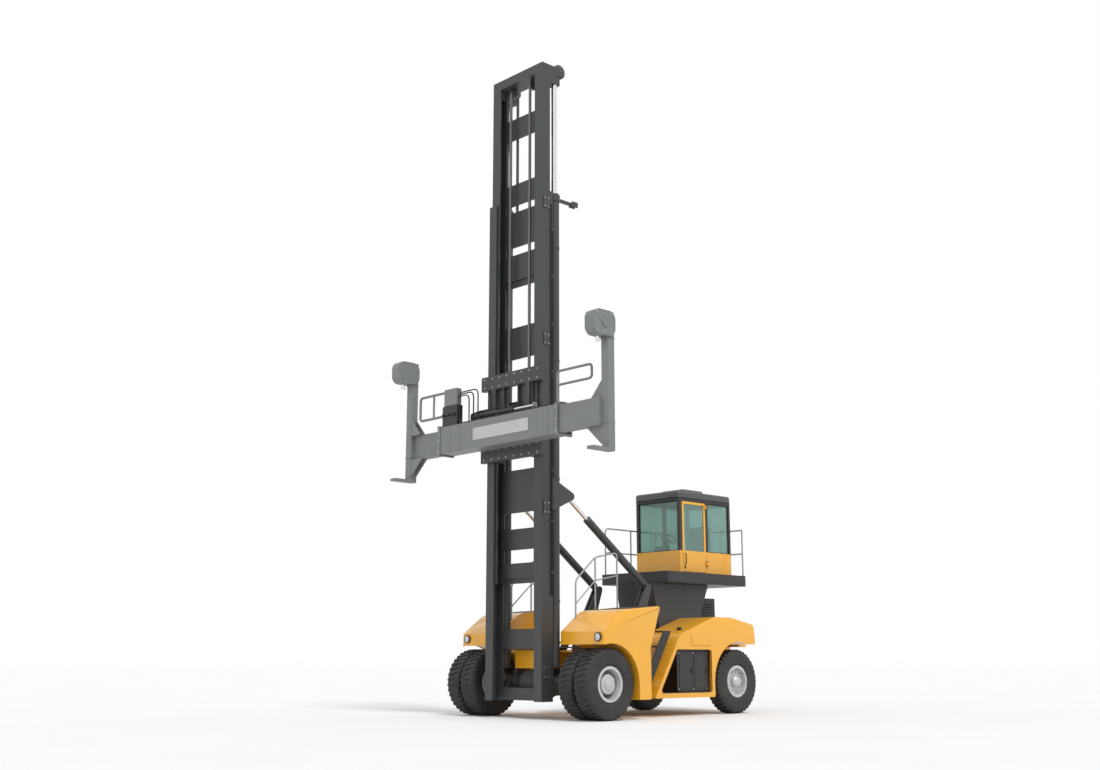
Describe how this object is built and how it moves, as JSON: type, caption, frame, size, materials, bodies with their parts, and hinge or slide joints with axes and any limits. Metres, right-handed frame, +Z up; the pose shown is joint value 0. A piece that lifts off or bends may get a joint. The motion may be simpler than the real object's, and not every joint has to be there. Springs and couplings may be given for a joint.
{
  "type": "empty container handler",
  "caption": "Mobile machine for stacking empty containers: wheeled chassis with raised cab, tall two-stage mast and a telescopic side-lift spreader.",
  "frame": {"origin": "on the ground under the middle of the machine's bounding box", "axes": "+Z up, -Y towards the mast and spreader at the machine's front, +X to the machine's left"},
  "size_m": [6.17, 6.96, 13.4498],
  "materials": {
    "yellow": "gloss",
    "door_yellow": "gloss",
    "mast_grey": "satin",
    "spreader_grey": "satin",
    "axle_grey": "satin",
    "black_steel": "satin",
    "roof_grey": "satin",
    "rod_steel": "polished",
    "chain_steel": "oiled",
    "tyre_rubber": "matte",
    "rim_silver": "satin",
    "window_glass": "tinted",
    "seat_black": "woven",
    "rail_grey": "satin"
  },
  "bodies": {
    "chassis": {"frame": "yellow", "drive_axle": "axle_grey", "steer_axle": "axle_grey", "front_fenders": "yellow", "fender_decks": "yellow", "rear_body": "yellow", "side_tanks": "black_steel", "counterweight": "yellow", "engine": "black_steel", "hood": "black_steel", "cab_tower": "mast_grey", "platform": "black_steel", "cab_tub": "yellow", "cab_frame": "black_steel", "cab_roof": "roof_grey", "cab_glass": "window_glass", "seat_unit": "seat_black", "side_steps": "black_steel", "platform_rails": "rail_grey", "head_lamps": "black_steel", "tilt_brackets": "mast_grey", "door_hinges": "black_steel"},
    "wheel_front_left": {"tyre_front_left": "tyre_rubber", "rim_front_left": "rim_silver"},
    "wheel_rear_left": {"tyre_rear_left": "tyre_rubber", "rim_rear_left": "rim_silver"},
    "knuckle_left": {"knuckle_left": "axle_grey"},
    "wheel_front_right": {"tyre_front_right": "tyre_rubber", "rim_front_right": "rim_silver"},
    "wheel_rear_right": {"tyre_rear_right": "tyre_rubber", "rim_rear_right": "rim_silver"},
    "knuckle_right": {"knuckle_right": "axle_grey"},
    "outer_mast": {"outer_mast": "mast_grey", "lift_barrels": "mast_grey"},
    "inner_mast": {"inner_mast": "mast_grey", "lift_rods": "rod_steel", "chain_sheaves": "chain_steel", "lift_chains": "chain_steel"},
    "carriage": {"carriage": "mast_grey"},
    "spreader": {"spreader_beam": "spreader_grey"},
    "arm_left": {"arm_left": "spreader_grey", "twistlock_left": "rod_steel"},
    "tilt_barrel_left": {"tilt_barrel_left": "mast_grey"},
    "tilt_rod_left": {"tilt_rod_left": "rod_steel"},
    "arm_right": {"arm_right": "spreader_grey", "twistlock_right": "rod_steel"},
    "tilt_barrel_right": {"tilt_barrel_right": "mast_grey"},
    "tilt_rod_right": {"tilt_rod_right": "rod_steel"},
    "cab_door": {"cab_door": "door_yellow", "door_glass": "window_glass"}
  },
  "joints": [
    {"name": "wheel_front_left_spin", "type": "hinge", "parent": "chassis", "child": "wheel_front_left", "pos_m": [1.635, -2.02, 0.665], "axis": [1, 0, 0], "continuous": true},
    {"name": "wheel_front_right_spin", "type": "hinge", "parent": "chassis", "child": "wheel_front_right", "pos_m": [-1.635, -2.02, 0.665], "axis": [1, 0, 0], "continuous": true},
    {"name": "steer_left", "type": "hinge", "parent": "chassis", "child": "knuckle_left", "pos_m": [1, 2.48, 0.665], "axis": [0, 0, 1], "range_deg": [-50, 50]},
    {"name": "wheel_rear_left_spin", "type": "hinge", "parent": "knuckle_left", "child": "wheel_rear_left", "pos_m": [1.27, 2.48, 0.665], "axis": [1, 0, 0], "continuous": true},
    {"name": "steer_right", "type": "hinge", "parent": "chassis", "child": "knuckle_right", "pos_m": [-1, 2.48, 0.665], "axis": [0, 0, 1], "range_deg": [-50, 50]},
    {"name": "wheel_rear_right_spin", "type": "hinge", "parent": "knuckle_right", "child": "wheel_rear_right", "pos_m": [-1.27, 2.48, 0.665], "axis": [1, 0, 0], "continuous": true},
    {"name": "mast_tilt", "type": "hinge", "parent": "chassis", "child": "outer_mast", "pos_m": [0, -2.29, 0.5], "axis": [1, 0, 0], "range_deg": [-3, 3]},
    {"name": "tilt_barrel_left_swing", "type": "hinge", "parent": "chassis", "child": "tilt_barrel_left", "pos_m": [0.715, 0.43, 2.6], "axis": [1, 0, 0], "range_deg": [-2.06, 2.06]},
    {"name": "tilt_rod_left_slide", "type": "slide", "parent": "tilt_barrel_left", "child": "tilt_rod_left", "axis": [0, -0.8054, 0.5927], "range_m": [-0.1769, 0.1769]},
    {"name": "tilt_barrel_right_swing", "type": "hinge", "parent": "chassis", "child": "tilt_barrel_right", "pos_m": [-0.715, 0.43, 2.6], "axis": [1, 0, 0], "range_deg": [-2.06, 2.06]},
    {"name": "tilt_rod_right_slide", "type": "slide", "parent": "tilt_barrel_right", "child": "tilt_rod_right", "axis": [0, -0.8054, 0.5927], "range_m": [-0.1769, 0.1769]},
    {"name": "mast_lift", "type": "slide", "parent": "outer_mast", "child": "inner_mast", "axis": [0, 0, 1], "range_m": [-2.25, 5.9]},
    {"name": "carriage_lift", "type": "slide", "parent": "inner_mast", "child": "carriage", "axis": [0, 0, 1], "range_m": [-2.25, 5.9]},
    {"name": "side_shift", "type": "slide", "parent": "carriage", "child": "spreader", "axis": [1, 0, 0], "range_m": [-0.5, 0.5]},
    {"name": "arm_left_extend", "type": "slide", "parent": "spreader", "child": "arm_left", "axis": [1, 0, 0], "range_m": [0, 3.05]},
    {"name": "arm_right_extend", "type": "slide", "parent": "spreader", "child": "arm_right", "axis": [-1, 0, 0], "range_m": [0, 3.05]},
    {"name": "door_swing", "type": "hinge", "parent": "chassis", "child": "cab_door", "pos_m": [0.664, 2.5, 3], "axis": [0, 0, 1], "range_deg": [0, 100]}
  ],
  "couplings": [
    {"joint": "steer_right", "follows": "steer_left", "ratio": 1},
    {"joint": "tilt_barrel_left_swing", "follows": "mast_tilt", "ratio": 0.67017},
    {"joint": "tilt_barrel_right_swing", "follows": "mast_tilt", "ratio": 0.67017},
    {"joint": "tilt_rod_left_slide", "follows": "mast_tilt", "m_per_rad": 3.3036},
    {"joint": "tilt_rod_right_slide", "follows": "mast_tilt", "m_per_rad": 3.3036},
    {"joint": "carriage_lift", "follows": "mast_lift", "ratio": 1},
    {"joint": "arm_right_extend", "follows": "arm_left_extend", "ratio": 1}
  ]
}
